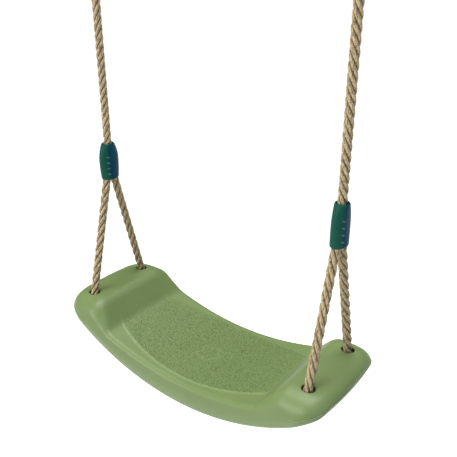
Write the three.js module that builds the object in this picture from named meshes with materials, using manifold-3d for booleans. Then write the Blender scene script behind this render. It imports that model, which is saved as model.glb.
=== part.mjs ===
// A curved plank swing seat hung on two twisted ropes.
//
// Each rope is one length: it leaves a hanging ring through a thimble eye, runs down to a lower
// sleeve, splits there into two legs, and passes in one piece under the end of the seat. The model
// is drawn with the seat's rope holes at z = 0, and the whole group is then lowered so that its
// origin lies midway between the two rings, at the height where they rest on their hooks.
// Millimetres. X runs along the seat, Y from its front edge to its back edge, and Z up.

import * as THREE from 'three';
import { mergeVertices } from 'three/addons/utils/BufferGeometryUtils.js';
import Module from 'manifold-3d';

const wasm = await Module();
wasm.setup();

// ---------------------------------------------------------------- driving dimensions

const gap = 0.35; // left between pieces that touch

const seat = {
  halfLength: 207.4, // to the end wall, at the height of the rope holes
  halfWidth: 82.3, // at the top and bottom edges
  wallBulge: 1.0, // how far the long walls belly out between those edges
  dishDepth: 55.2, // lowest point of the sitting face, below the rope holes
  dishRadius: 400,
  rampTop: 156, // where the inner face of a raised end would reach its top
  rampRise: 1.23, // its slope
  rampFoot: 5, // softness of its lower crease
  rampCrest: 9, // softness of its upper edge
  baseDepth: 91.4, // lowest point of the underside
  baseRadius: 340,
  cornerRadius: 31, // of the outline, seen from above
  endTopAcross: 17, // upper edge of the two ends, along the seat
  endTopDown: 10, // and down
  endBottom: 7, // their lower edge
  topEdge: 8, // edge radius along the sitting face
  topEdgeAcross: 30, // edge of the raised ends, across the seat
  topEdgeDown: 25, // and down
  bottomEdge: 8,
  endLean: 0.17, // outward lean of the end walls, per unit of height
  endLeanFrom: 150,
  endBulge: 7, // the end walls bow outwards by this much
  wall: 3,
};

const rope = {
  diameter: 12,
  x: 183, // both ropes hang this far from the middle
  holeY: 48.5, // a leg enters the seat here
  bendRadius: 24, // two diameters
  holeRadius: 9,
  tunnelWall: 3,
  side: 6.35, // half the spacing of two stretches side by side in a sleeve
};

const sleeve = {
  length: 51,
  lowerMouth: 165.5, // underside of the lower sleeve
  upperMouth: 432, // underside of the upper sleeve
  // half sizes along Y and X, from the single-rope end (0) to the two-leg end (1)
  shape: [
    [0.0, 8.6, 7.4],
    [0.03, 10.0, 8.3],
    [0.12, 12.4, 8.4],
    [0.28, 15.1, 8.6],
    [0.45, 16.1, 8.8],
    [0.62, 15.9, 9.0],
    [0.8, 15.1, 9.3],
    [0.97, 13.9, 9.6],
    [1.0, 12.9, 8.8],
  ],
};

const ferrule = { length: 17, fromLegs: 9, wall: 0.9 };

const eye = { lean: THREE.MathUtils.degToRad(30) }; // slope of the legs of the top eye

const thimble = { bore: 15, flange: 22.5, groove: 6.6, lip: 1.8, mouth: 22.4 };

const ring = { wire: 8, inner: 22 };

const seatGreen = new THREE.MeshStandardMaterial({ color: 0x7f9a5c, roughness: 0.5 });
const fittingGreen = new THREE.MeshStandardMaterial({ color: 0x0f4a44, roughness: 0.35 });
const hempTan = new THREE.MeshStandardMaterial({ color: 0xc2a87a, roughness: 0.9 });
const aluminium = new THREE.MeshStandardMaterial({ color: 0xb8bcc0, roughness: 0.4, metalness: 1 });
const zinc = new THREE.MeshStandardMaterial({ color: 0xa9adb0, roughness: 0.35, metalness: 1 });

// ---------------------------------------------------------------- solids

/** A manifold solid of a closed three.js geometry. */
function solid(geometry) {
  const bare = geometry.clone();
  for (const name of Object.keys(bare.attributes)) {
    if (name !== 'position') bare.deleteAttribute(name);
  }
  const merged = bare.index && geometry.userData.welded ? bare : mergeVertices(bare, 1e-4);
  return new wasm.Manifold(new wasm.Mesh({
    numProp: 3,
    vertProperties: new Float32Array(merged.attributes.position.array),
    triVerts: new Uint32Array(merged.index.array),
  }));
}

/** The three.js geometry of a manifold solid. */
function geometryOf(body) {
  const mesh = body.getMesh();
  const geometry = new THREE.BufferGeometry();
  geometry.setAttribute('position', new THREE.BufferAttribute(mesh.vertProperties, 3));
  geometry.setIndex(new THREE.BufferAttribute(mesh.triVerts, 1));
  geometry.computeVertexNormals();
  return geometry;
}

/** A closed skin over rings of points, each end filled by a fan about the ring's middle. */
function loft(rings) {
  const count = rings[0].length;
  const points = rings.flat();
  const triangles = [];
  for (let r = 0; r + 1 < rings.length; r++) {
    for (let i = 0; i < count; i++) {
      const a = r * count + i;
      const b = r * count + (i + 1) % count;
      triangles.push(a, b, a + count, b, b + count, a + count);
    }
  }
  for (const [first, turn] of [[0, 1], [(rings.length - 1) * count, 0]]) {
    const middle = new THREE.Vector3();
    for (let i = 0; i < count; i++) middle.addScaledVector(points[first + i], 1 / count);
    const centre = points.push(middle) - 1;
    for (let i = 0; i < count; i++) {
      const edge = [first + i, first + (i + 1) % count];
      triangles.push(centre, edge[turn], edge[1 - turn]);
    }
  }
  const geometry = new THREE.BufferGeometry().setFromPoints(points);
  geometry.setIndex(triangles);
  geometry.userData.welded = true;
  return geometry;
}

/** A round tube along a curve, closed at both ends. */
function tube(curve, radius, steps, sides) {
  const section = new THREE.Shape().absarc(0, 0, radius, 0, 2 * Math.PI);
  return new THREE.ExtrudeGeometry(section, {
    steps,
    curveSegments: sides / 2, // three.js doubles this on a whole circle
    extrudePath: curve,
    bevelEnabled: false,
  });
}

// ---------------------------------------------------------------- seat

/** The lesser of two heights, with the corner between them rounded over a height k. */
function softMin(a, b, k) {
  const overlap = Math.max(k - Math.abs(a - b), 0) / k;
  return Math.min(a, b) - (overlap * overlap * k) / 4;
}

const softMax = (a, b, k) => -softMin(-a, -b, k);

/** Height of the top face on the seat's long axis: dish, ramp and raised end. */
function topHeight(x) {
  const dish = -seat.dishDepth + (x * x) / (2 * seat.dishRadius);
  const ramp = (Math.abs(x) - seat.rampTop) * seat.rampRise;
  return softMin(softMax(dish, ramp, seat.rampFoot), 0, seat.rampCrest);
}

/** Height of the underside, an arc of a circle. */
function baseHeight(x) {
  return -seat.baseDepth + seat.baseRadius - Math.sqrt(seat.baseRadius ** 2 - x * x);
}

/** How far a quarter-round edge of the given radius has fallen away, at a distance past its start. */
function edgeFall(past, radius) {
  const reach = THREE.MathUtils.clamp(past, 0, radius);
  return radius - Math.sqrt(radius ** 2 - reach ** 2);
}

/** Where a point of the straight loft goes once the end walls lean and bow outwards. */
function leant(x, y, z) {
  const share = THREE.MathUtils.clamp(
    (Math.abs(x) - seat.endLeanFrom) / (seat.halfLength - seat.endLeanFrom), 0, 1);
  const bow = seat.endBulge * (1 - (y / seat.halfWidth) ** 2);
  return new THREE.Vector3(x + Math.sign(x) * share * (bow - seat.endLean * z), y, z);
}

/** The seat's cross-section at x, drawn in by an inset, as a closed ring of points. */
function seatSection(x, inset) {
  const end = seat.halfLength - inset;
  const far = Math.abs(x);
  const topAcross = seat.endTopAcross - inset;
  const topSquash = (seat.endTopDown - inset) / topAcross;
  const topFall = topSquash * edgeFall(far - (end - topAcross), topAcross);
  const bottomRadius = seat.endBottom - inset;
  const bottomFall = edgeFall(far - (end - bottomRadius), bottomRadius);
  const cornerRadius = seat.cornerRadius - inset;
  const halfWidth = seat.halfWidth - inset - edgeFall(far - (end - cornerRadius), cornerRadius);
  const top = topHeight(x) - inset - topFall;
  const bottom = baseHeight(leant(x, seat.halfWidth, baseHeight(x)).x) + inset + bottomFall;
  const height = top - bottom;

  const raised = THREE.MathUtils.smoothstep(far, 122, seat.rampTop);
  const across = THREE.MathUtils.lerp(seat.topEdge, seat.topEdgeAcross, raised) - inset / 2;
  const down = Math.min(THREE.MathUtils.lerp(seat.topEdge, seat.topEdgeDown, raised) - inset / 2,
    0.7 * height);
  const under = Math.min(seat.bottomEdge - inset / 2, 0.25 * height);

  // half of the ring, from the middle of the top face round to the middle of the underside
  const half = [];
  for (const share of [0, 0.35, 0.7]) half.push([share * (halfWidth - across), top]);
  for (let i = 0; i <= 4; i++) {
    const turn = (i / 4) * (Math.PI / 2);
    half.push([
      halfWidth - across * (1 - Math.sin(turn)),
      top - down * (1 - Math.cos(turn)),
    ]);
  }
  half.push([halfWidth + seat.wallBulge, (top - down + bottom + under) / 2]);
  for (let i = 0; i <= 3; i++) {
    const turn = (i / 3) * (Math.PI / 2);
    half.push([
      halfWidth - under * (1 - Math.cos(turn)),
      bottom + under * (1 - Math.sin(turn)),
    ]);
  }
  for (const share of [0.6, 0]) half.push([share * (halfWidth - under), bottom]);
  const mirrored = half.slice(1, -1).reverse().map(([y, z]) => [-y, z]);
  return [...half, ...mirrored].map(([y, z]) => leant(x, -y, z));
}

/** The seat's outer skin, or the same skin drawn in by an inset. */
function seatSkin(inset) {
  const end = seat.halfLength - inset;
  const topAcross = seat.endTopAcross - inset;
  const rounding = [0.25, 0.45, 0.65, 0.85, 1].map((share) =>
    end - topAcross * (1 - Math.sin(share * (Math.PI / 2))));
  const inner = [26, 52, 77, 99, 114, 124, 130, 136, 142, 149, 157, 165, 174, 182];
  const outward = [...inner, end - topAcross, ...rounding];
  const stations = [...outward.toReversed().map((x) => -x), 0, ...outward];
  return loft(stations.map((x) => seatSection(x, inset)));
}

// ---------------------------------------------------------------- rope routes, in the YZ plane

/** Heights and places that both ropes share. */
const legTilt = Math.atan2(rope.holeY - rope.side, sleeve.lowerMouth);
const upperTop = sleeve.upperMouth + sleeve.length;
const eyeCentre = upperTop
  + (rope.bendRadius - rope.side * Math.cos(eye.lean)) / Math.sin(eye.lean);
const wireCentre = eyeCentre + thimble.bore - gap - ring.wire / 2;
const ringCentre = wireCentre + ring.inner + ring.wire / 2;
const hookHeight = ringCentre + ring.inner;

/** The turn under the seat: a leg bends through it from its slope to level. */
const turnDepth = 36; // of the level stretch's centreline, below the rope holes
const turn = new THREE.Vector2(0, -turnDepth + rope.bendRadius);
turn.x = rope.holeY - turn.y * Math.tan(legTilt) - rope.bendRadius / Math.cos(legTilt);

const at = (y, z) => new THREE.Vector3(0, y, z);

/** Points round part of a circle, from one angle to another. */
function arc(centreY, centreZ, radius, from, to, pieces) {
  return Array.from({ length: pieces + 1 }, (_, i) => {
    const angle = from + ((to - from) * i) / pieces;
    return at(centreY + radius * Math.cos(angle), centreZ + radius * Math.sin(angle));
  });
}

/** Straight pieces through a list of points, as one curve. */
function route(points) {
  const path = new THREE.CurvePath();
  for (let i = 0; i + 1 < points.length; i++) {
    path.add(new THREE.LineCurve3(points[i], points[i + 1]));
  }
  return path;
}

const backTurn = arc(turn.x, turn.y, rope.bendRadius, legTilt, -Math.PI / 2, 8);
const frontTurn = backTurn.map((p) => at(-p.y, p.z)).reverse();
const splitHeight = sleeve.lowerMouth + 2;

/** From the tail in the lower sleeve, down the back leg, under the seat and up the front leg. */
const underSeat = [
  at(rope.side, sleeve.lowerMouth + 30),
  at(rope.side, splitHeight + 4),
  at(rope.side + 0.6, splitHeight - 3),
  ...backTurn,
  ...frontTurn,
  at(-rope.side - 0.6, splitHeight - 3),
  at(-rope.side, splitHeight + 4),
];

/** On up through the lower sleeve to the mouth of the upper one. */
const flexHeight = sleeve.upperMouth - 0.8;
const runRoute = [
  ...underSeat,
  at(-rope.side, sleeve.lowerMouth + 28),
  at(-rope.side + 1, sleeve.lowerMouth + 34),
  at(-1, sleeve.lowerMouth + 45),
  at(0, sleeve.lowerMouth + 52),
  at(0, flexHeight),
];

/** The eye: in through the upper sleeve, round the thimble and back to a tail in the sleeve. */
const eyeRoute = [
  at(0, sleeve.upperMouth),
  at(0, sleeve.upperMouth + 2),
  at(-1, sleeve.upperMouth + 7),
  at(-rope.side + 1, sleeve.upperMouth + 17),
  at(-rope.side, sleeve.upperMouth + 23),
  at(-rope.side, upperTop - 6),
  at(-rope.side - 0.7, upperTop - 2),
  ...arc(0, eyeCentre, rope.bendRadius, Math.PI + eye.lean, -eye.lean, 20),
  at(rope.side + 0.7, upperTop - 2),
  at(rope.side, upperTop - 6),
  at(rope.side, sleeve.upperMouth + 22),
];

/** The stretch that a rope tunnel through the seat follows. */
const above = backTurn[0].clone().add(at(-Math.sin(legTilt), Math.cos(legTilt)).multiplyScalar(40));
const tunnelRoute = [above, ...backTurn, ...frontTurn, at(-above.y, above.z)];

// ---------------------------------------------------------------- pieces

/** Hollow blow-moulded seat, with a rope tunnel through each end and a blow hole underneath. */
function seatShell() {
  const tunnels = [-1, 1].map((side) => (radius) =>
    solid(tube(route(tunnelRoute), radius, 26, 12)).translate([side * rope.x, 0, 0]));
  let hollow = solid(seatSkin(seat.wall));
  let shell = solid(seatSkin(0));
  for (const tunnel of tunnels) {
    hollow = hollow.subtract(tunnel(rope.holeRadius + rope.tunnelWall));
    shell = shell.subtract(tunnel(rope.holeRadius));
  }
  const blowHole = new THREE.CylinderGeometry(4, 4, 20, 16).rotateX(Math.PI / 2);
  shell = shell.subtract(hollow).subtract(
    solid(blowHole.translate(0, 0, -seat.baseDepth)));
  return geometryOf(shell);
}

const ropeTube = (points, steps, extra = 0) =>
  tube(route(points), rope.diameter / 2 + extra, steps, 8);
const runSteps = 64;
const eyeSteps = 44;

/** An oval ring of points around Z, of the given half sizes along Y and X. */
function oval(halfY, halfX, z, pieces = 20) {
  return Array.from({ length: pieces }, (_, i) => {
    const angle = (2 * Math.PI * i) / pieces;
    return new THREE.Vector3(halfX * Math.cos(angle), halfY * Math.sin(angle), z);
  });
}

/** A sleeve's outer form, its two-leg end at height legs and its single-rope end at height single. */
function sleeveForm(legs, single) {
  const rings = sleeve.shape.map(([share, halfY, halfX]) =>
    oval(halfY, halfX, single + share * (legs - single)));
  return solid(loft(legs < single ? rings.reverse() : rings));
}

/** A prism with round ends about two stretches of rope side by side. */
function sideBySide(radius, low, high) {
  const half = rope.side;
  const outline = new THREE.Shape()
    .absarc(0, half, radius, 0, Math.PI)
    .absarc(0, -half, radius, Math.PI, 2 * Math.PI);
  const prism = new THREE.ExtrudeGeometry(outline, {
    depth: high - low, curveSegments: 5, bevelEnabled: false,
  });
  return solid(prism.translate(0, 0, low));
}

/** The sleeve and the crimped ferrule inside it, cut to clear a rope that follows the points. */
function sleeveAndFerrule(legs, single, points, steps) {
  const clear = solid(ropeTube(points, steps, gap));
  const towards = Math.sign(single - legs);
  const ends = [legs + towards * ferrule.fromLegs,
    legs + towards * (ferrule.fromLegs + ferrule.length)];
  const [low, high] = ends.toSorted((a, b) => a - b);
  const bore = rope.diameter / 2 + gap;
  const outside = bore + ferrule.wall;
  return {
    sleeve: geometryOf(sleeveForm(legs, single).subtract(clear)
      .subtract(sideBySide(outside + gap, low - gap, high + gap))),
    ferrule: geometryOf(sideBySide(outside, low, high).subtract(sideBySide(bore, low - 1, high + 1))),
  };
}

/** A round grooved thimble about X; its bore is belled to lie on the inside of the ring. */
function thimbleForm() {
  const half = thimble.groove + thimble.lip;
  const grooveFloor = rope.bendRadius - rope.diameter / 2 - 2 * gap;
  const bell = (x) => thimble.bore + thimble.mouth - Math.sqrt(thimble.mouth ** 2 - x * x);
  const profile = [];
  for (let i = -3; i <= 3; i++) {
    const x = (i / 3) * half;
    profile.push(new THREE.Vector2(bell(x), x));
  }
  profile.push(new THREE.Vector2(thimble.flange, half), new THREE.Vector2(thimble.flange, half - 1));
  for (let i = 0; i <= 4; i++) {
    const angle = (i / 4) * Math.PI;
    profile.push(new THREE.Vector2(
      rope.bendRadius - (rope.bendRadius - grooveFloor) * Math.sin(angle),
      thimble.groove * Math.cos(angle)));
  }
  profile.push(new THREE.Vector2(thimble.flange, 1 - half), new THREE.Vector2(thimble.flange, -half));
  profile.push(profile[0].clone());
  return geometryOf(solid(new THREE.LatheGeometry(profile.reverse(), 24).rotateZ(-Math.PI / 2)));
}

const ringForm = () => geometryOf(solid(
  new THREE.TorusGeometry(ring.inner + ring.wire / 2, ring.wire / 2, 8, 28)
    .rotateX(Math.PI / 2)));

// ---------------------------------------------------------------- assembly

const swing = new THREE.Group();
swing.position.z = -hookHeight;

function place(name, geometry, material, x = 0, z = 0) {
  const mesh = new THREE.Mesh(geometry, material);
  mesh.name = name;
  mesh.position.set(x, 0, z);
  swing.add(mesh);
}

place('seat_shell', seatShell(), seatGreen);

for (const [side, x] of [['left', -rope.x], ['right', rope.x]]) {
  const lower = sleeveAndFerrule(
    sleeve.lowerMouth, sleeve.lowerMouth + sleeve.length, runRoute, runSteps);
  const upper = sleeveAndFerrule(upperTop, sleeve.upperMouth, eyeRoute, eyeSteps);
  place(`${side}_rope`, ropeTube(runRoute, runSteps), hempTan, x);
  place(`${side}_lower_sleeve`, lower.sleeve, fittingGreen, x);
  place(`${side}_lower_ferrule`, lower.ferrule, aluminium, x);
  place(`${side}_rope_eye`, ropeTube(eyeRoute, eyeSteps), hempTan, x);
  place(`${side}_upper_sleeve`, upper.sleeve, fittingGreen, x);
  place(`${side}_upper_ferrule`, upper.ferrule, aluminium, x);
  place(`${side}_thimble`, thimbleForm(), fittingGreen, x, eyeCentre);
  place(`${side}_ring`, ringForm(), zinc, x, ringCentre);
}

export default swing;
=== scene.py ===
"""A curved plank swing seat on two ropes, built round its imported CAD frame.

Metres, in the frame's own axes: X along the seat, Y from its front edge to its back edge, Z up.
Sizes under a heading marked MM are in millimetres, and heights there are measured from the
plane of the seat's rope holes, as they are in the CAD model.
"""

import math

import bpy
import numpy as np
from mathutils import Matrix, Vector


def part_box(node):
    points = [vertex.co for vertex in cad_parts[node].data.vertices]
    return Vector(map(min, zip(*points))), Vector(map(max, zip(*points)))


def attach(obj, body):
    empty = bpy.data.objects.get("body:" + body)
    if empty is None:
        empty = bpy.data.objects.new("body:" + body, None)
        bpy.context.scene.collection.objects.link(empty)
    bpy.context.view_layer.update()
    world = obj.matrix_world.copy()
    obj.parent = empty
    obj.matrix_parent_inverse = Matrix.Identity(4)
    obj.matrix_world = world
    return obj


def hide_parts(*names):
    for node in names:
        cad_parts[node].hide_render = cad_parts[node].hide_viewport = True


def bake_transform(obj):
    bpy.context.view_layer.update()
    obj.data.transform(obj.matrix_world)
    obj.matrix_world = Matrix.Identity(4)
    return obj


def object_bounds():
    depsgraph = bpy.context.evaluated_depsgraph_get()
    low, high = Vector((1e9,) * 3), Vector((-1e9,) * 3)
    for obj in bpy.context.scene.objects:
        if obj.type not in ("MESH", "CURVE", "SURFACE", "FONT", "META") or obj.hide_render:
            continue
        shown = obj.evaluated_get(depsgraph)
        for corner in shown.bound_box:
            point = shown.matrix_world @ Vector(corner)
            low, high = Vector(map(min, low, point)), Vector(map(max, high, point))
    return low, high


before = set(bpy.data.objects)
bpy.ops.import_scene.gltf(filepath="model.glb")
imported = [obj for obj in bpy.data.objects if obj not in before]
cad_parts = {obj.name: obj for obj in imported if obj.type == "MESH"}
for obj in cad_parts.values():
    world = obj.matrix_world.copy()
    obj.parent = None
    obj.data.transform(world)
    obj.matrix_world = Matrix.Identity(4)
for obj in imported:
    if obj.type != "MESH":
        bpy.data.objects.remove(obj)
cad_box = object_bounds()

MM = 0.001
HOLE_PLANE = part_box("seat_shell")[1][2]
ROPE_X = sum(corner[0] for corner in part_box("right_rope")) / 2
SIDES = {"left": -ROPE_X, "right": ROPE_X}


def srgb(red, green, blue):
    """A colour given as sRGB bytes, in linear values."""
    def linear(byte):
        share = byte / 255
        return share / 12.92 if share <= 0.04045 else ((share + 0.055) / 1.055) ** 2.4
    return (linear(red), linear(green), linear(blue), 1.0)


# ------------------------------------------------------------------ camera

CAMERA_AZIMUTH = math.radians(37.4)
CAMERA_ELEVATION = math.radians(24.3)
CAMERA_PLACE = Vector((0.4625, -0.5665, 0.4656))  # its height is above the hole plane
CAMERA_LENS = 49.1


def add_camera():
    data = bpy.data.cameras.new("camera")
    data.lens = CAMERA_LENS
    data.sensor_width = 36
    data.clip_start = 0.01
    camera = bpy.data.objects.new("camera", data)
    bpy.context.collection.objects.link(camera)
    camera.location = CAMERA_PLACE + Vector((0, 0, HOLE_PLANE))
    camera.rotation_euler = (math.pi / 2 - CAMERA_ELEVATION, 0, CAMERA_AZIMUTH)
    bpy.context.scene.camera = camera


# ------------------------------------------------------------------ meshes

def new_object(name, points, faces, material, smooth_angle=None):
    """A mesh object from points and faces, smooth shaded, with edges over an angle kept sharp."""
    mesh = bpy.data.meshes.new(name)
    mesh.from_pydata([tuple(map(float, p)) for p in points], [], faces)
    mesh.validate()
    mesh.shade_smooth()
    if smooth_angle is not None:
        mesh.set_sharp_from_angle(angle=math.radians(smooth_angle))
    mesh.materials.append(material)
    piece = bpy.data.objects.new(name, mesh)
    bpy.context.collection.objects.link(piece)
    return piece


def ring_faces(rows, count, closed=False):
    """Quads between successive rings of count points; closed joins the last ring to the first."""
    faces = []
    for row in range(rows if closed else rows - 1):
        here, there = row * count, (row + 1) % rows * count
        for i in range(count):
            j = (i + 1) % count
            faces.append((here + i, here + j, there + j, there + i))
    return faces


def capped_loft(rings):
    """Points and faces of a skin over rings, each end closed by one face."""
    rings = np.asarray(rings)
    rows, count = rings.shape[:2]
    faces = ring_faces(rows, count)
    faces.append(tuple(reversed(range(count))))
    faces.append(tuple(range((rows - 1) * count, rows * count)))
    return rings.reshape(-1, 3), faces


def lathe(profile, around):
    """Points and faces of a closed profile of (along, radius) turned about the X axis."""
    angles = np.arange(around) * (2 * math.pi / around)
    rings = [
        [(along, radius * math.cos(a), radius * math.sin(a)) for a in angles]
        for along, radius in profile
    ]
    return np.asarray(rings).reshape(-1, 3), ring_faces(len(profile), around, closed=True)


def float_layer(piece, name, values):
    """A named number on every vertex, for the material to read."""
    layer = piece.data.attributes.new(name, "FLOAT", "POINT")
    layer.data.foreach_set("value", np.asarray(values, dtype=np.float32))


def cut(piece, cutters):
    """Cuts the cutters' solids out of a piece, and removes them."""
    for cutter in cutters:
        boolean = piece.modifiers.new("cut", "BOOLEAN")
        boolean.operation = "DIFFERENCE"
        boolean.solver = "EXACT"
        boolean.object = cutter
    depsgraph = bpy.context.evaluated_depsgraph_get()
    mesh = bpy.data.meshes.new_from_object(piece.evaluated_get(depsgraph))
    piece.modifiers.clear()
    old = piece.data
    piece.data = mesh
    bpy.data.meshes.remove(old)
    mesh.name = piece.name
    for cutter in cutters:
        bpy.data.objects.remove(cutter, do_unlink=True)


# ------------------------------------------------------------------ node materials

def new_material(name):
    """A new material and its shader."""
    material = bpy.data.materials.new(name)
    material.use_nodes = True
    return material, material.node_tree.nodes["Principled BSDF"]


class Graph:
    """Short calls for the nodes that the materials here are made of."""

    def __init__(self, material):
        self.nodes = material.node_tree.nodes
        self.links = material.node_tree.links

    def add(self, kind, inputs=None, **settings):
        node = self.nodes.new("ShaderNode" + kind)
        for key, value in settings.items():
            setattr(node, key, value)
        for key, value in (inputs or {}).items():
            self.feed(node.inputs[key], value)
        return node

    def feed(self, socket, value):
        if isinstance(value, bpy.types.NodeSocket):
            self.links.new(value, socket)
        else:
            socket.default_value = value

    def position(self):
        return self.add("TexCoord").outputs["Object"]

    def attribute(self, name):
        return self.add("Attribute", attribute_name=name).outputs["Fac"]

    def noise(self, where, scale, detail=3.0, roughness=0.55):
        return self.add("TexNoise", {
            "Vector": where, "Scale": scale, "Detail": detail, "Roughness": roughness,
        }).outputs["Fac"]

    def cells(self, where, scale):
        return self.add("TexVoronoi", {"Vector": where, "Scale": scale}).outputs["Distance"]

    def stretched(self, where, scale):
        return self.add("Mapping", {"Vector": where, "Scale": scale}).outputs["Vector"]

    def math(self, operation, a, b, c=0.0):
        node = self.add("Math", operation=operation)
        for socket, value in zip(node.inputs, (a, b, c)):
            self.feed(socket, value)
        return node.outputs["Value"]

    def remap(self, value, low, high, to_low=0.0, to_high=1.0):
        return self.add("MapRange", {
            "Value": value, "From Min": low, "From Max": high, "To Min": to_low, "To Max": to_high,
        }).outputs["Result"]

    def blend(self, share, a, b):
        node = self.add("Mix", data_type="RGBA")
        for socket, value in zip((node.inputs[0], node.inputs[6], node.inputs[7]), (share, a, b)):
            self.feed(socket, value)
        return node.outputs[2]

    def bump(self, height, depth, below=None):
        node = self.add("Bump", {"Height": height, "Strength": 1.0, "Distance": depth})
        if below is not None:
            self.feed(node.inputs["Normal"], below)
        return node.outputs["Normal"]


SEAT_GREEN = srgb(132, 154, 98)
SEAT_DEEP = srgb(127, 149, 93)
SEAT_GRAIN = srgb(84, 108, 46)
SEAT_LINE_HIGHLIGHT = srgb(160, 180, 122)
ROPE_LIGHT = srgb(240, 222, 180)
ROPE_MID = srgb(208, 182, 132)
ROPE_AGED = srgb(158, 128, 80)
ROPE_WARM = srgb(204, 170, 128)
ROPE_FLECK = srgb(112, 84, 44)
ROPE_GAP_SHADE = srgb(92, 70, 38)
FITTING_GREEN = srgb(31, 93, 77)
FITTING_BLUE_REFLECTION = srgb(3, 75, 98)
FITTING_BAR_HIGHLIGHT = srgb(120, 160, 168)
GRAIN_SHARE = 0.7  # the most that each of these covers of the colour under it
LINE_HIGHLIGHT_SHARE = 0.45
AGED_SHARE = 0.35
WARM_SHARE = 0.3
FLECK_SHARE = 0.7


def seat_material():
    """Moulded polyethylene: faintly cloudy, with a fine grain on the sitting panel and a painted
    highlight along the lines moulded on it.
    """
    material, shader = new_material("seat_plastic")
    g = Graph(material)
    where = g.position()
    panel = g.attribute("panel")
    cloud = g.noise(where, 9.0, 4.0)
    grain_cells = g.cells(g.stretched(where, (1.0, 1.0, 0.6)), 480.0)
    grain_noise = g.noise(where, 700.0, 2.0)
    grain = g.math("MULTIPLY_ADD", grain_noise, 0.5, grain_cells)
    skin = g.noise(where, 1500.0, 2.0)
    colour = g.blend(g.remap(cloud, 0.35, 0.65), SEAT_GREEN, SEAT_DEEP)
    grained = g.math("MULTIPLY", g.remap(grain, 0.5, 1.05), g.math("MULTIPLY", panel, GRAIN_SHARE))
    shade = g.blend(grained, colour, SEAT_GRAIN)
    # a painted highlight along the moulded outline and flower lines of the panel
    line = g.math("MULTIPLY", g.attribute("lines"), LINE_HIGHLIGHT_SHARE)
    g.feed(shader.inputs["Base Color"], g.blend(line, shade, SEAT_LINE_HIGHLIGHT))
    g.feed(shader.inputs["Roughness"], g.remap(panel, 0.0, 1.0, 0.43, 0.55))
    fine = g.bump(skin, 0.00004)
    g.feed(shader.inputs["Normal"], g.bump(g.math("MULTIPLY", grain, panel), 0.0004, fine))
    return material


def rope_material():
    """Synthetic hemp: long fibres along each yarn, short dark flecks, and painted shade between the
    strands.
    """
    material, shader = new_material("rope_fibre")
    g = Graph(material)
    along = g.add("UVMap", uv_map="lay").outputs["UV"]
    gap_shade = g.attribute("gap_shade")
    fibres = g.noise(g.stretched(along, (1.0, 0.08, 1.0)), 900.0, 4.0, 0.65)
    coarse = g.noise(g.stretched(along, (1.0, 0.15, 1.0)), 260.0, 3.0)
    tufts = g.noise(g.stretched(along, (1.0, 0.35, 1.0)), 520.0, 2.0, 0.6)
    blotch = g.noise(g.position(), 60.0, 2.0)
    tan = g.blend(g.remap(fibres, 0.3, 0.7), ROPE_MID, ROPE_LIGHT)
    aged = g.blend(g.math("MULTIPLY", g.remap(coarse, 0.35, 0.75), AGED_SHARE), tan, ROPE_AGED)
    warm = g.blend(g.math("MULTIPLY", g.remap(blotch, 0.45, 0.7), WARM_SHARE), aged, ROPE_WARM)
    flecked = g.blend(g.math("MULTIPLY", g.remap(tufts, 0.5, 0.6), FLECK_SHARE), warm, ROPE_FLECK)
    # painted shade in the gaps between the strands
    g.feed(shader.inputs["Base Color"], g.blend(gap_shade, flecked, ROPE_GAP_SHADE))
    shader.inputs["Roughness"].default_value = 0.78
    shader.inputs["Sheen Weight"].default_value = 0.25
    shader.inputs["Sheen Roughness"].default_value = 0.5
    g.feed(shader.inputs["Normal"], g.bump(fibres, 0.0004, g.bump(tufts, 0.0008)))
    return material


def fitting_material():
    """Dark green moulded fittings, with a painted blue reflection on the broad faces of the sleeves.
    """
    material, shader = new_material("fitting_plastic")
    g = Graph(material)
    where = g.position()
    cloud = g.remap(g.noise(where, 40.0, 3.0), 0.3, 0.7, -0.1, 0.1)
    # a painted blue reflection on the broad faces of the sleeves
    plain = g.blend(g.math("ADD", g.attribute("broad"), cloud), FITTING_GREEN, FITTING_BLUE_REFLECTION)
    # a painted highlight on the slanted bars
    g.feed(shader.inputs["Base Color"], g.blend(g.attribute("mark"), plain, FITTING_BAR_HIGHLIGHT))
    g.feed(shader.inputs["Roughness"], g.remap(g.noise(where, 300.0), 0.3, 0.7, 0.4, 0.52))
    shader.inputs["Specular IOR Level"].default_value = 0.08
    g.feed(shader.inputs["Normal"], g.bump(g.noise(where, 1200.0, 2.0), 0.00005))
    return material


def metal_material(name, colour, roughness):
    """Bare metal with fine drawn scratches and dull patches."""
    material, shader = new_material(name)
    g = Graph(material)
    where = g.position()
    scratches = g.noise(g.stretched(where, (1.0, 1.0, 0.05)), 2500.0, 2.0)
    patches = g.noise(where, 120.0, 4.0)
    dull = tuple(0.75 * c for c in colour[:3]) + (1.0,)
    g.feed(shader.inputs["Base Color"], g.blend(g.remap(patches, 0.45, 0.75), colour, dull))
    shader.inputs["Metallic"].default_value = 1.0
    g.feed(shader.inputs["Roughness"], g.remap(patches, 0.3, 0.7, roughness - 0.07, roughness + 0.1))
    g.feed(shader.inputs["Normal"], g.bump(scratches, 0.00004))
    return material


# ------------------------------------------------------------------ rope routes (MM, in YZ)

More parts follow.
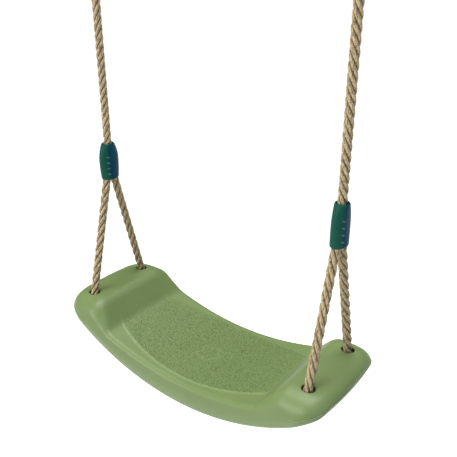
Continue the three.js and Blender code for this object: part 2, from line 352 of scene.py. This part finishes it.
HOLE_Y = 48.5
BEND_RADIUS = 24.0
TURN_DEPTH = 36.0
SIDE_BY_SIDE = 6.35
SLEEVE_LENGTH = 51.0
LOWER_MOUTH = 165.5
LOWER_TOP = LOWER_MOUTH + SLEEVE_LENGTH
UPPER_MOUTH = 432.0
UPPER_TOP = UPPER_MOUTH + SLEEVE_LENGTH
EYE_LEAN = math.radians(30)
EYE_CENTRE = UPPER_TOP + (BEND_RADIUS - SIDE_BY_SIDE * math.cos(EYE_LEAN)) / math.sin(EYE_LEAN)
LEG_TILT = math.atan2(HOLE_Y - SIDE_BY_SIDE, LOWER_MOUTH)
TURN_Z = BEND_RADIUS - TURN_DEPTH
TURN_Y = HOLE_Y - TURN_Z * math.tan(LEG_TILT) - BEND_RADIUS / math.cos(LEG_TILT)
SPLIT = LOWER_MOUTH + 2
FLEX = UPPER_MOUTH - 0.8
EASED_OVER = 3.0  # to each side of a corner of the route


def arc(centre_y, centre_z, radius, start, end, pieces):
    """Points (y, z) round part of a circle, from one angle to another."""
    return [
        (centre_y + radius * math.cos(a), centre_z + radius * math.sin(a))
        for a in np.linspace(start, end, pieces + 1)
    ]


def rope_route():
    """The whole rope: tail in the lower sleeve, under the seat, up the run and round the eye."""
    back_turn = arc(TURN_Y, TURN_Z, BEND_RADIUS, LEG_TILT, -math.pi / 2, 8)
    front_turn = [(-y, z) for y, z in reversed(back_turn)]
    return [
        (SIDE_BY_SIDE, LOWER_MOUTH + 30),
        (SIDE_BY_SIDE, SPLIT + 4),
        (SIDE_BY_SIDE + 0.6, SPLIT - 3),
        *back_turn,
        *front_turn,
        (-SIDE_BY_SIDE - 0.6, SPLIT - 3),
        (-SIDE_BY_SIDE, SPLIT + 4),
        (-SIDE_BY_SIDE, LOWER_MOUTH + 28),
        (-SIDE_BY_SIDE + 1, LOWER_MOUTH + 34),
        (-1, LOWER_MOUTH + 45),
        (0, LOWER_MOUTH + 52),
        (0, FLEX),
        (0, UPPER_MOUTH + 2),
        (-1, UPPER_MOUTH + 7),
        (-SIDE_BY_SIDE + 1, UPPER_MOUTH + 17),
        (-SIDE_BY_SIDE, UPPER_MOUTH + 23),
        (-SIDE_BY_SIDE, UPPER_TOP - 6),
        (-SIDE_BY_SIDE - 0.7, UPPER_TOP - 2),
        *arc(0, EYE_CENTRE, BEND_RADIUS, math.pi + EYE_LEAN, -EYE_LEAN, 20),
        (SIDE_BY_SIDE + 0.7, UPPER_TOP - 2),
        (SIDE_BY_SIDE, UPPER_TOP - 6),
        (SIDE_BY_SIDE, UPPER_MOUTH + 22),
    ]


def smoothed(points, step):
    """The route with its corners eased, as points a step apart, in millimetres."""
    line = np.array(points, float)
    gaps = np.linalg.norm(np.diff(line, axis=0), axis=1)
    along = np.concatenate([[0], np.cumsum(gaps)])
    count = int(along[-1] / step) + 1
    at = np.linspace(0, along[-1], count)
    fine = np.stack([np.interp(at, along, line[:, k]) for k in range(2)], axis=1)
    reach = max(1, int(EASED_OVER / step))
    kernel = np.hanning(2 * reach + 3)[1:-1]
    kernel /= kernel.sum()
    before = 2 * fine[:1] - fine[reach:0:-1]
    after = 2 * fine[-1:] - fine[-2:-reach - 2:-1]
    padded = np.concatenate([before, fine, after])
    return np.stack([np.convolve(padded[:, k], kernel, mode="valid") for k in range(2)], axis=1)


def place(x, line):
    """Route points (y, z) in MM as points in the frame, in metres."""
    return np.stack([
        np.full(len(line), x), line[:, 0] * MM, line[:, 1] * MM + HOLE_PLANE,
    ], axis=1)


# ------------------------------------------------------------------ rope (MM)

STRANDS = 4
MAIN_LAY = 47.0  # MM along the rope for one whole turn of a strand, where it hangs as one
LEG_LAY = 59.0  # and where it has opened out, below the lower sleeve
STRAND_OFFSET = 3.3
STRAND_ACROSS = 2.75
STRAND_DEEP = 2.6
MAIN_THINNER = 0.95  # the rope pulls thinner where it hangs as one
YARNS = 7
YARN_DEPTH = 0.42
YARN_POWER = 0.7  # under 1 makes the valleys between yarns narrower than the yarns
YARN_BACK_TWIST = 1.85  # turns of a yarn against each turn of its strand, which sets it straight
GAP_FROM = 5.3  # the painted shade between the strands starts this far out, and deepens in towards the rope's middle
GAP_DEEP = 1.6
GAP_DARKEST = 0.9
FIBRE_SHIFT = 31.0  # between the fibre patterns of two strands
ROPE_STEP, ROPE_STEP_QUICK = 1.25, 2.4
STRAND_POINTS, STRAND_POINTS_QUICK = 28, 16


def strand_profile(around, turn, thickness):
    """A strand's skin across the rope, from the rope's middle: how far outward and how far sideways.

    Also gives each point's angle round the strand, counted along the yarns as they twist back.
    """
    straight = around[None, :] + YARN_BACK_TWIST * turn[:, None]
    valley = YARN_DEPTH * (1 - np.abs(np.sin(YARNS * straight / 2)) ** YARN_POWER)
    outward = STRAND_OFFSET + (STRAND_DEEP - valley) * np.cos(around)
    sideways = (STRAND_ACROSS - valley) * np.sin(around)
    return thickness * outward, thickness * sideways, straight


def build_rope(side, x, hand, material):
    """Four strands laid round one line, each of yarns twisted the other way."""
    step = ROPE_STEP
    line = smoothed(rope_route(), step)
    tangent = np.gradient(line, axis=0)
    tangent /= np.linalg.norm(tangent, axis=1)[:, None]
    across = np.stack([tangent[:, 1], -tangent[:, 0]], axis=1)  # in the YZ plane
    length = np.concatenate([[0], np.cumsum(np.linalg.norm(np.diff(line, axis=0), axis=1))])
    count = STRAND_POINTS
    even = (np.arange(count) + 0.5) * (2 * math.pi / count) - math.pi
    around = even - 0.5 * np.sin(even)  # 0 faces out of the rope, where the points lie closer
    opened = 1 - smooth_step(line[:, 1], LOWER_MOUTH + 10, LOWER_TOP)
    lay_length = MAIN_LAY + (LEG_LAY - MAIN_LAY) * opened
    thickness = MAIN_THINNER + (1 - MAIN_THINNER) * opened[:, None]
    wound = np.concatenate([[0], np.cumsum(np.diff(length) / lay_length[1:])]) * 2 * math.pi
    points, faces, gap_shade, lay = [], [], [], []
    for strand in range(STRANDS):
        turn = hand * wound + strand * 2 * math.pi / STRANDS
        outward, sideways, straight = strand_profile(around, turn, thickness)
        c, s = np.cos(turn)[:, None], np.sin(turn)[:, None]
        in_plane = outward * c - sideways * s
        out_of_plane = outward * s + sideways * c
        yz = line[:, None, :] + in_plane[:, :, None] * across[:, None, :]
        ring = np.stack([
            np.full(in_plane.shape, x) + out_of_plane * MM,
            yz[:, :, 0] * MM,
            yz[:, :, 1] * MM + HOLE_PLANE,
        ], axis=2)
        first = len(points)
        skin, skin_faces = capped_loft(ring)
        points.extend(skin)
        faces.extend(tuple(first + i for i in reversed(face)) for face in skin_faces)
        radius = np.hypot(outward, sideways) / thickness
        # painted shade, deepest in the gaps between the strands
        gap_shade.extend((np.clip((GAP_FROM - radius) / GAP_DEEP, 0, 1) * GAP_DARKEST).reshape(-1))
        drift = straight * STRAND_ACROSS + strand * FIBRE_SHIFT  # the same way round as the yarns
        lay.extend(zip((drift * MM).reshape(-1), np.repeat(length * MM, count)))
    rope = new_object(f"{side}_rope_laid", points, faces, material)
    float_layer(rope, "gap_shade", gap_shade)
    uv = rope.data.uv_layers.new(name="lay")
    corner = np.empty(len(rope.data.loops), dtype=np.int32)
    rope.data.loops.foreach_get("vertex_index", corner)
    uv.data.foreach_set("uv", np.asarray(lay, dtype=np.float32)[corner].reshape(-1))
    return rope, place(x, line), length[-1] * MM


# ------------------------------------------------------------------ seat (MM)

HALF_LENGTH = 207.4
HALF_WIDTH = 82.3
WALL_BULGE = 1.0
DISH_DEPTH = 55.2
DISH_RADIUS = 400.0
RAMP_TOP = 156.0
RAMP_RISE = 1.23
RAMP_FOOT = 5.0
RAMP_CREST = 9.0
BASE_DEPTH = 91.4
BASE_RADIUS = 340.0
CORNER_RADIUS = 31.0
END_TOP_ACROSS = 17.0
END_TOP_DOWN = 10.0
END_BOTTOM = 7.0
TOP_EDGE = 8.0
RAISED_ACROSS = 30.0
RAISED_DOWN = 25.0
BOTTOM_EDGE = 8.0
TOP_EDGE_MOST = 0.7  # share of the seat's thickness that an edge takes at most
BOTTOM_EDGE_MOST = 0.25
RAISED_FROM = 122.0  # along the seat, where its long top edges start to widen
END_LEAN = 0.17
END_LEAN_FROM = 150.0
END_BULGE = 7.0
HOLE_RADIUS = 9.0
HOLE_NARROWER = 1.2  # front to back, where the rope doesn't lean
HOLE_FLARE = 2.6
BLOW_HOLE_RADIUS = 4.0
PANEL_LENGTH = 175.0  # half axes of the raised sitting panel's outline
PANEL_WIDTH = 69.0
PANEL_HEIGHT = 0.7
PANEL_EDGE = 0.9  # to each side of its outline
PANEL_FADE = (112.0, 142.0)  # it fades away up the foot of each ramp
LINE_HEIGHT = 0.35
OUTLINE_HALF = 1.1
FLOWER_RADIUS = 15.0
FLOWER_BACK = 6.0  # of the seat's middle
FLOWER_PETALS = 5
FLOWER_DEPTH = 0.2  # share of its radius
FLOWER_HALF = 1.3
FLOWER_FAINTER = 0.7  # than the outline


def soft_min(a, b, k):
    """The lesser of two heights, with the corner between them rounded over a height k."""
    overlap = np.maximum(k - np.abs(a - b), 0) / k
    return np.minimum(a, b) - overlap * overlap * k / 4


def soft_max(a, b, k):
    """The greater of two heights, rounded the same way."""
    return -soft_min(-a, -b, k)


def smooth_step(value, low, high):
    """0 up to low and 1 from high on, with an eased way between."""
    share = np.clip((value - low) / (high - low), 0, 1)
    return share * share * (3 - 2 * share)


def top_height(x):
    """The height of the seat's upper side at x, before its end is rounded over."""
    dish = -DISH_DEPTH + x * x / (2 * DISH_RADIUS)
    ramp = (abs(x) - RAMP_TOP) * RAMP_RISE
    return soft_min(soft_max(dish, ramp, RAMP_FOOT), 0.0, RAMP_CREST)


def base_height(x):
    """The height of the seat's underside at x."""
    return -BASE_DEPTH + BASE_RADIUS - math.sqrt(BASE_RADIUS**2 - x * x)


def edge_fall(past, radius):
    """How far a rounded edge has fallen, this far past its start."""
    reach = min(max(past, 0.0), radius)
    return radius - math.sqrt(radius**2 - reach**2)


def leant(x, y, z):
    """x with the lean and the bow of the seat's ends added."""
    share = min(max((abs(x) - END_LEAN_FROM) / (HALF_LENGTH - END_LEAN_FROM), 0), 1)
    bow = END_BULGE * (1 - (y / HALF_WIDTH) ** 2)
    return x + math.copysign(share, x) * (bow - END_LEAN * z)


def panel_shape(x, y):
    """Two shares: 1 inside the raised sitting panel, and 1 on the lines moulded on it.

    The lines are the panel's outline and a plain five-petalled flower in its middle.
    """
    inside = (1 - np.sqrt((x / PANEL_LENGTH) ** 2 + (y / PANEL_WIDTH) ** 2)) * PANEL_WIDTH
    fade = 1 - smooth_step(np.abs(x), *PANEL_FADE)
    angle = np.arctan2(y - FLOWER_BACK, x)
    flower = FLOWER_RADIUS * (1 + FLOWER_DEPTH * np.cos(FLOWER_PETALS * angle))
    petals = np.hypot(x, y - FLOWER_BACK) - flower
    outline = np.exp(-((inside / OUTLINE_HALF) ** 2))
    lines = outline + FLOWER_FAINTER * np.exp(-((petals / FLOWER_HALF) ** 2))
    return smooth_step(inside, -PANEL_EDGE, PANEL_EDGE) * fade, lines * fade


def seat_section(x, fine):
    """A closed ring of points round the seat at x, and each one's shares of the panel and lines."""
    far = abs(x)
    past_top = far - (HALF_LENGTH - END_TOP_ACROSS)
    top_fall = END_TOP_DOWN / END_TOP_ACROSS * edge_fall(past_top, END_TOP_ACROSS)
    bottom_fall = edge_fall(far - (HALF_LENGTH - END_BOTTOM), END_BOTTOM)
    half = HALF_WIDTH - edge_fall(far - (HALF_LENGTH - CORNER_RADIUS), CORNER_RADIUS)
    top = float(top_height(x)) - top_fall
    bottom = base_height(leant(x, HALF_WIDTH, base_height(x))) + bottom_fall
    height = top - bottom
    raised = float(smooth_step(far, RAISED_FROM, RAMP_TOP))
    across = TOP_EDGE + (RAISED_ACROSS - TOP_EDGE) * raised
    down = min(TOP_EDGE + (RAISED_DOWN - TOP_EDGE) * raised, TOP_EDGE_MOST * height)
    under = min(BOTTOM_EDGE, BOTTOM_EDGE_MOST * height)

    flat, corner, wall = (40, 10, 8) if fine else (16, 6, 4)
    y_top = np.linspace(0, half - across, flat, endpoint=False)
    turn = np.linspace(0, math.pi / 2, corner, endpoint=False)
    y_edge = half - across * (1 - np.sin(turn))
    z_edge = top - down * (1 - np.cos(turn))
    share = np.linspace(0, 1, wall, endpoint=False)
    z_wall = (top - down) + (bottom + under - top + down) * share
    y_wall = half + WALL_BULGE * (1 - (2 * share - 1) ** 2)
    y_under = half - under * (1 - np.cos(turn))
    z_under = bottom + under * (1 - np.sin(turn))
    y_base = np.linspace(half - under, 0, flat // 2 + 1)
    y = np.concatenate([y_top, y_edge, y_wall, y_under, y_base])
    z = np.concatenate([
        np.full(len(y_top), top), z_edge, z_wall, z_under, np.full(len(y_base), bottom)])
    on_top = np.concatenate([np.ones(flat + corner), np.zeros(len(y) - flat - corner)])
    y, z, on_top = (
        np.concatenate([half_ring, mirror * half_ring[-2:0:-1]])
        for half_ring, mirror in ((y, -1), (z, 1), (on_top, 1))
    )
    panel, lines = (share * on_top for share in panel_shape(x, y))
    z = z + PANEL_HEIGHT * panel + LINE_HEIGHT * lines
    ring = [(leant(x, v, w), -v, w) for v, w in zip(y, z)]
    return ring, panel, lines


def seat_stations(fine):
    """Distances along the seat: even in the middle, closing up round the ends."""
    edge = HALF_LENGTH - END_TOP_ACROSS
    straight = np.linspace(0, edge, 145 if fine else 58)
    rounding = edge + END_TOP_ACROSS * np.sin(np.linspace(0, math.pi / 2, 22)[1:])
    half = np.concatenate([straight, rounding])
    return np.concatenate([-half[:0:-1], half])


def tunnel_cutter(x):
    """A tube along the rope's way through one end of the seat, flared at both mouths."""
    turn = arc(TURN_Y, TURN_Z, BEND_RADIUS, LEG_TILT, -math.pi / 2, 14)
    lean = (-math.sin(LEG_TILT), math.cos(LEG_TILT))
    start = np.array(turn[0])
    leg_length = -TURN_Z / math.cos(LEG_TILT)
    mouth = []
    for above in (30.0, 4.0, 1.2, 0.5, 0.0, -0.5, -1.0, -1.6, -2.2, -3.0, -4.5):
        reach = leg_length + above
        sink = min(max((above + HOLE_FLARE) / HOLE_FLARE, 0.0), 1.0)
        wider = HOLE_FLARE * (1 - math.sqrt(1 - sink**2))
        mouth.append((start + np.array(lean) * reach, HOLE_RADIUS + wider))
    half = mouth + [(np.array(p), HOLE_RADIUS) for p in turn]
    line = half + [(p * np.array([-1, 1]), r) for p, r in reversed(half)]
    centres = np.array([p for p, _ in line])
    radii = np.array([r for _, r in line])
    tangent = np.gradient(centres, axis=0)
    tangent /= np.linalg.norm(tangent, axis=1)[:, None]
    tangent[:len(mouth)] = (-lean[0], -lean[1])
    tangent[-len(mouth):] = (-lean[0], lean[1])
    across = np.stack([tangent[:, 1], -tangent[:, 0]], axis=1)
    around = np.arange(48) * (2 * math.pi / 48)
    rings = []
    for centre, aside, radius in zip(centres, across, radii):
        rings.append([
            (x / MM + radius * math.sin(a), *(centre + aside * (radius - HOLE_NARROWER) * math.cos(a)))
            for a in around
        ])
    points, faces = capped_loft(rings)
    return solid_cutter(points, [tuple(reversed(f)) for f in faces])


def solid_cutter(points, faces):
    """A solid in MM from the hole plane, to cut the seat with."""
    points = np.asarray(points) * MM + np.array([0, 0, HOLE_PLANE])
    return new_object("cutter", points, faces, bpy.data.materials["seat_plastic"])


def blow_hole_cutter():
    """A plug for the small round hole under the middle of the seat."""
    rings = [
        [(BLOW_HOLE_RADIUS * math.cos(a), BLOW_HOLE_RADIUS * math.sin(a), -BASE_DEPTH + z)
         for a in np.arange(32) * (math.pi / 16)]
        for z in (-6.0, 3.0)
    ]
    return solid_cutter(*capped_loft(rings))


def build_seat(material):
    """The seat's moulding, with both rope tunnels and the blow hole cut in it."""
    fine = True
    rings, panels, lines = zip(*(seat_section(x, fine) for x in seat_stations(fine)))
    points, faces = capped_loft(rings)
    points = points * MM + np.array([0, 0, HOLE_PLANE])
    seat = new_object("seat_moulding", points, faces, material)
    float_layer(seat, "panel", np.concatenate(panels))
    float_layer(seat, "lines", np.concatenate(lines))
    cut(seat, [*(tunnel_cutter(x) for x in SIDES.values()), blow_hole_cutter()])
    seat.data.shade_smooth()
    seat.data.set_sharp_from_angle(angle=math.radians(38))
    return seat


# ------------------------------------------------------------------ fittings (MM)

SLEEVE_WIDEST = 0.45  # share of the length from the single-rope end
SLEEVE_HALF_Y = 16.1
TAPER_TO_SINGLE = 34.0
TAPER_TO_LEGS = 8.3
SLEEVE_HALF_X = 8.4  # at the single-rope end
SLEEVE_GROWTH = 1.3  # along X, by the two-leg end
SLEEVE_EDGE = 1.6
SLEEVE_WALL_Y = 1.6
SLEEVE_WALL_X = 2.1
SLEEVE_FLARE = 0.35  # of the bore, at the two-leg end
BAR_SHARES = (0.35, 0.51, 0.67, 0.83)
BAR_ASIDE = 8.0  # from the middle of a broad face
BAR_LENGTH = 4.2
BAR_WIDTH = 1.2
BAR_HEIGHT = 0.55
BAR_SLANT = math.radians(28)
FERRULE_LENGTH = 17.0
FERRULE_FROM_LEGS = 9.0
POCKET_CLEARANCE = 0.5  # at each end of the ferrule
POCKET_WALL_Y = 1.9
POCKET_HALF_X = 7.65


def sleeve_outside(share):
    """Half sizes along Y and X of a sleeve, from its single-rope end (0) to its two-leg end (1)."""
    from_widest = share - SLEEVE_WIDEST
    taper = TAPER_TO_SINGLE if from_widest < 0 else TAPER_TO_LEGS
    nearest_end = min(share, 1 - share) * SLEEVE_LENGTH
    fall = edge_fall(SLEEVE_EDGE - nearest_end, SLEEVE_EDGE)
    half_y = SLEEVE_HALF_Y - taper * from_widest**2 - fall
    return half_y, SLEEVE_HALF_X + SLEEVE_GROWTH * share**1.5 - fall


def sleeve_inside(share):
    """The same for its bore, which holds the ferrule part of the way along."""
    half_y, half_x = sleeve_outside(min(max(share, 0.05), 0.95))
    mouth = SLEEVE_FLARE * smooth_step(share, 0.94, 1.0)
    past_pocket = (1 - share) * SLEEVE_LENGTH - FERRULE_FROM_LEGS
    if -POCKET_CLEARANCE < past_pocket < FERRULE_LENGTH + POCKET_CLEARANCE:
        return half_y - POCKET_WALL_Y, POCKET_HALF_X
    return half_y - SLEEVE_WALL_Y + mouth, half_x - SLEEVE_WALL_X


def build_sleeve(name, x, legs, single, material):
    """A moulded oval sleeve, open at both ends, with a row of slanted bars on each broad face, which
    carry a painted highlight.
    """
    even = np.arange(112) * (2 * math.pi / 112)
    around = even - 0.35 * np.sin(2 * even)  # closer together on the broad faces
    cos, sin = np.cos(around), np.sin(around)
    ends = np.linspace(0, 1, 9)[:-1] ** 2 * 0.04
    shares = np.concatenate([ends, np.linspace(0.04, 0.96, 104), 1 - ends[::-1]])
    rings, marks = [], []
    for share in shares:
        half_y, half_x = sleeve_outside(share)
        y = half_y * sin
        out = y * np.sign(cos) + BAR_ASIDE
        lift = np.zeros(len(around))
        for bar in BAR_SHARES:
            up = (share - bar) * SLEEVE_LENGTH
            along = out * math.cos(BAR_SLANT) + up * math.sin(BAR_SLANT)
            beside = up * math.cos(BAR_SLANT) - out * math.sin(BAR_SLANT)
            lift += np.exp(-((2 * along / BAR_LENGTH) ** 4) - (2 * beside / BAR_WIDTH) ** 2)
        height = single + share * (legs - single)
        rings.append(sleeve_ring(x, half_x * cos + BAR_HEIGHT * lift * np.sign(cos), y, height))
        marks.append(np.minimum(lift, 1))
    for share in shares[::-1]:
        half_y, half_x = sleeve_inside(share)
        rings.append(sleeve_ring(x, half_x * cos, half_y * sin, single + share * (legs - single)))
        marks.append(np.zeros(len(around)))
    if legs < single:
        rings.reverse()
        marks.reverse()
    points = np.concatenate(rings)
    faces = ring_faces(len(rings), len(around), closed=True)
    sleeve = new_object(name, points, faces, material, 50)
    # where the bars carry a painted highlight
    float_layer(sleeve, "mark", np.concatenate(marks))
    # where the painted blue reflection lies, on the broad faces
    float_layer(sleeve, "broad", np.tile(smooth_step(np.abs(cos), 0.8, 0.92), len(rings)))
    return sleeve


def sleeve_ring(x, out_x, out_y, height):
    """One level ring of a sleeve, in the frame, from its half sizes in MM."""
    level = np.full(len(out_x), height * MM + HOLE_PLANE)
    return np.stack([x + out_x * MM, out_y * MM, level], axis=1)


THIMBLE_BORE = 15.0
THIMBLE_FLANGE = 22.5
THIMBLE_GROOVE = 6.6
THIMBLE_LIP = 1.8
THIMBLE_BELL = 22.4
THIMBLE_FLOOR = 17.3


def build_thimble(name, x, material):
    """A round grooved thimble, belled inside, with softly rounded rims."""
    half = THIMBLE_GROOVE + THIMBLE_LIP
    rim = 0.85
    profile = [
        (u, THIMBLE_BORE + THIMBLE_BELL - math.sqrt(THIMBLE_BELL**2 - u * u))
        for u in np.linspace(-half + rim, half - rim, 17)
    ]
    bell_edge = profile[-1][1] + rim
    inner = [(half - rim + rim * math.sin(a), bell_edge - rim * math.cos(a))
             for a in np.linspace(0.2, math.pi / 2, 5)]
    outer = [(half - rim + rim * math.cos(a), THIMBLE_FLANGE - rim + rim * math.sin(a))
             for a in np.linspace(0, math.pi * 0.62, 7)]
    groove = [
        (THIMBLE_GROOVE * math.cos(a),
         BEND_RADIUS - (BEND_RADIUS - THIMBLE_FLOOR) * math.sin(a))
        for a in np.linspace(0.30, math.pi - 0.30, 21)
    ]
    mirrored = [(-u, r) for u, r in reversed(inner + outer)]
    points, faces = lathe(profile + inner + outer + groove + mirrored, 96)
    points = points * MM + np.array([x, 0, EYE_CENTRE * MM + HOLE_PLANE])
    return new_object(name, points, [tuple(reversed(f)) for f in faces], material, 40)


RING_WIRE = 8.0
RING_INNER = 22.0
RING_GAP = 0.35  # between its wire and the top of the thimble's bore
RING_CENTRE = EYE_CENTRE + THIMBLE_BORE - RING_GAP + RING_INNER
WELD_AT = math.radians(141)
WELD_HEIGHT = 0.42
WELD_HALF = 1.7
RIPPLE_HEIGHT = 0.10
RIPPLE_HALF = 2.6


def build_ring(name, x, material):
    """A ring of round wire in the XZ plane, closed by a filed-down weld high on its left."""
    turns, wire = 160, 28
    middle = RING_INNER + RING_WIRE / 2
    rings = []
    for a in np.arange(turns) * (2 * math.pi / turns):
        off = (a - WELD_AT + math.pi) % (2 * math.pi) - math.pi
        bead = WELD_HEIGHT * math.exp(-((off * middle / WELD_HALF) ** 2))
        ripple = RIPPLE_HEIGHT * math.sin(off * 70) * math.exp(-((off * middle / RIPPLE_HALF) ** 2))
        radius = RING_WIRE / 2 + bead + ripple
        rings.append([
            (x / MM + (middle + radius * math.cos(b)) * math.cos(a), radius * math.sin(b),
             RING_CENTRE + (middle + radius * math.cos(b)) * math.sin(a))
            for b in np.arange(wire) * (2 * math.pi / wire)
        ])
    points = np.concatenate(rings) * MM + np.array([0, 0, HOLE_PLANE])
    return new_object(name, points, ring_faces(turns, wire, closed=True), material)


# ------------------------------------------------------------------ floor and light

FLOOR_BELOW = 1.2  # metres under the seat's lowest point
TOWARDS_BACK = (-0.6, 0.8, 0.0)
GLOW_FROM, GLOW_TO = -0.4, 0.9  # metres that way, between which the floor's glow grows
GLOW_LEAST, GLOW_MOST = 0.5, 1.05
BACKDROP_LIGHT, BACKDROP_SEEN = 0.02, 0.9  # its strength as a light, and as the camera sees it
LIGHT_DISTANCE = 3.0
LIGHT_SIZE = 1.8


def add_floor():
    """A white floor that glows, most brightly behind the swing."""
    material, shader = new_material("studio_floor")
    g = Graph(material)
    tone = g.remap(g.noise(g.position(), 0.6), 0.3, 0.7, 0.88, 0.92)
    g.feed(shader.inputs["Base Color"], g.add("CombineColor", {
        "Red": tone, "Green": tone, "Blue": tone}).outputs["Color"])
    shader.inputs["Roughness"].default_value = 0.9
    shader.inputs["Emission Color"].default_value = (1.0, 1.0, 1.0, 1.0)
    behind = g.add("VectorMath", {0: g.position(), 1: TOWARDS_BACK}, operation="DOT_PRODUCT")
    glow = g.remap(behind.outputs["Value"], GLOW_FROM, GLOW_TO, GLOW_LEAST, GLOW_MOST)
    g.feed(shader.inputs["Emission Strength"], glow)
    half = 30.0
    level = cad_box[0][2] - FLOOR_BELOW
    corners = [(-half, -half, level), (half, -half, level), (half, half, level), (-half, half, level)]
    floor = new_object("studio_floor", corners, [(0, 1, 2, 3)], material)


def add_area_light(name, direction, power, colour):
    """A soft square light that faces the rope holes' plane from a direction."""
    data = bpy.data.lights.new(name, "AREA")
    data.size = LIGHT_SIZE
    data.energy = power
    data.color = colour
    light = bpy.data.objects.new(name, data)
    bpy.context.collection.objects.link(light)
    away = Vector(direction).normalized()
    light.location = Vector((0, 0, HOLE_PLANE)) + away * LIGHT_DISTANCE
    light.rotation_euler = away.to_track_quat("Z", "Y").to_euler()


def add_light():
    """Four soft lights, and a pale backdrop that adds next to no light of its own."""
    world = bpy.data.worlds.new("studio")
    bpy.context.scene.world = world
    world.use_nodes = True
    background = world.node_tree.nodes["Background"]
    background.inputs["Color"].default_value = (1.0, 1.0, 1.0, 1.0)
    seen = world.node_tree.nodes.new("ShaderNodeLightPath").outputs["Is Camera Ray"]
    strength = world.node_tree.nodes.new("ShaderNodeMapRange")
    strength.inputs["To Min"].default_value = BACKDROP_LIGHT
    strength.inputs["To Max"].default_value = BACKDROP_SEEN
    world.node_tree.links.new(seen, strength.inputs["Value"])
    world.node_tree.links.new(strength.outputs["Result"], background.inputs["Strength"])
    add_area_light("key", (-0.3, -0.9, 0.5), 34.0, (1.0, 1.0, 0.98))
    add_area_light("front", (-0.15, -1.0, 0.5), 21.0, (1.0, 1.0, 1.0))
    add_area_light("top", (0.0, 0.1, 1.0), 84.0, (1.0, 1.0, 1.0))
    add_area_light("side", (1.0, -0.2, 0.15), 6.0, (0.12, 0.45, 1.0))


# ------------------------------------------------------------------ assembly

def hang(piece, body, slot, *nodes):
    """Puts a piece on its body, in place of its CAD nodes; the slot is not used."""
    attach(piece, body)
    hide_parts(*nodes)


def build():
    bpy.context.scene.view_settings.view_transform = "Standard"
    add_camera()
    rope_fibre = rope_material()
    fitting = fitting_material()
    aluminium = metal_material("ferrule_aluminium", srgb(196, 198, 200), 0.42)
    zinc = metal_material("ring_zinc", srgb(178, 182, 186), 0.32)
    for side, x in SIDES.items():
        hand = -1 if side == "left" else 1
        rope, path, length = build_rope(side, x, hand, rope_fibre)
        sleeves = [
            build_sleeve(f"{side}_lower_sleeve_moulding", x, LOWER_MOUTH, LOWER_TOP, fitting),
            build_sleeve(f"{side}_upper_sleeve_moulding", x, UPPER_TOP, UPPER_MOUTH, fitting),
        ]
        thimble = build_thimble(f"{side}_thimble_moulding", x, fitting)
        ring = build_ring(f"{side}_welded_ring", x, zinc)
        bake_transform(rope)
        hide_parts(f"{side}_rope", f"{side}_rope_eye")
        hang(sleeves[0], f"{side}_line", "fitting_plastic", f"{side}_lower_sleeve")
        hang(sleeves[1], "hangers", "fitting_plastic", f"{side}_upper_sleeve")
        hang(thimble, "hangers", "fitting_plastic", f"{side}_thimble")
        hang(ring, "rings", "ring_steel", f"{side}_ring")
        for node in (f"{side}_lower_ferrule", f"{side}_upper_ferrule"):
            mesh = bpy.data.objects[node].data
            mesh.materials.clear()
            mesh.materials.append(aluminium)
    seat = build_seat(seat_material())
    hang(seat, "seat", "seat_plastic", "seat_shell")
    add_floor()
    add_light()


build()
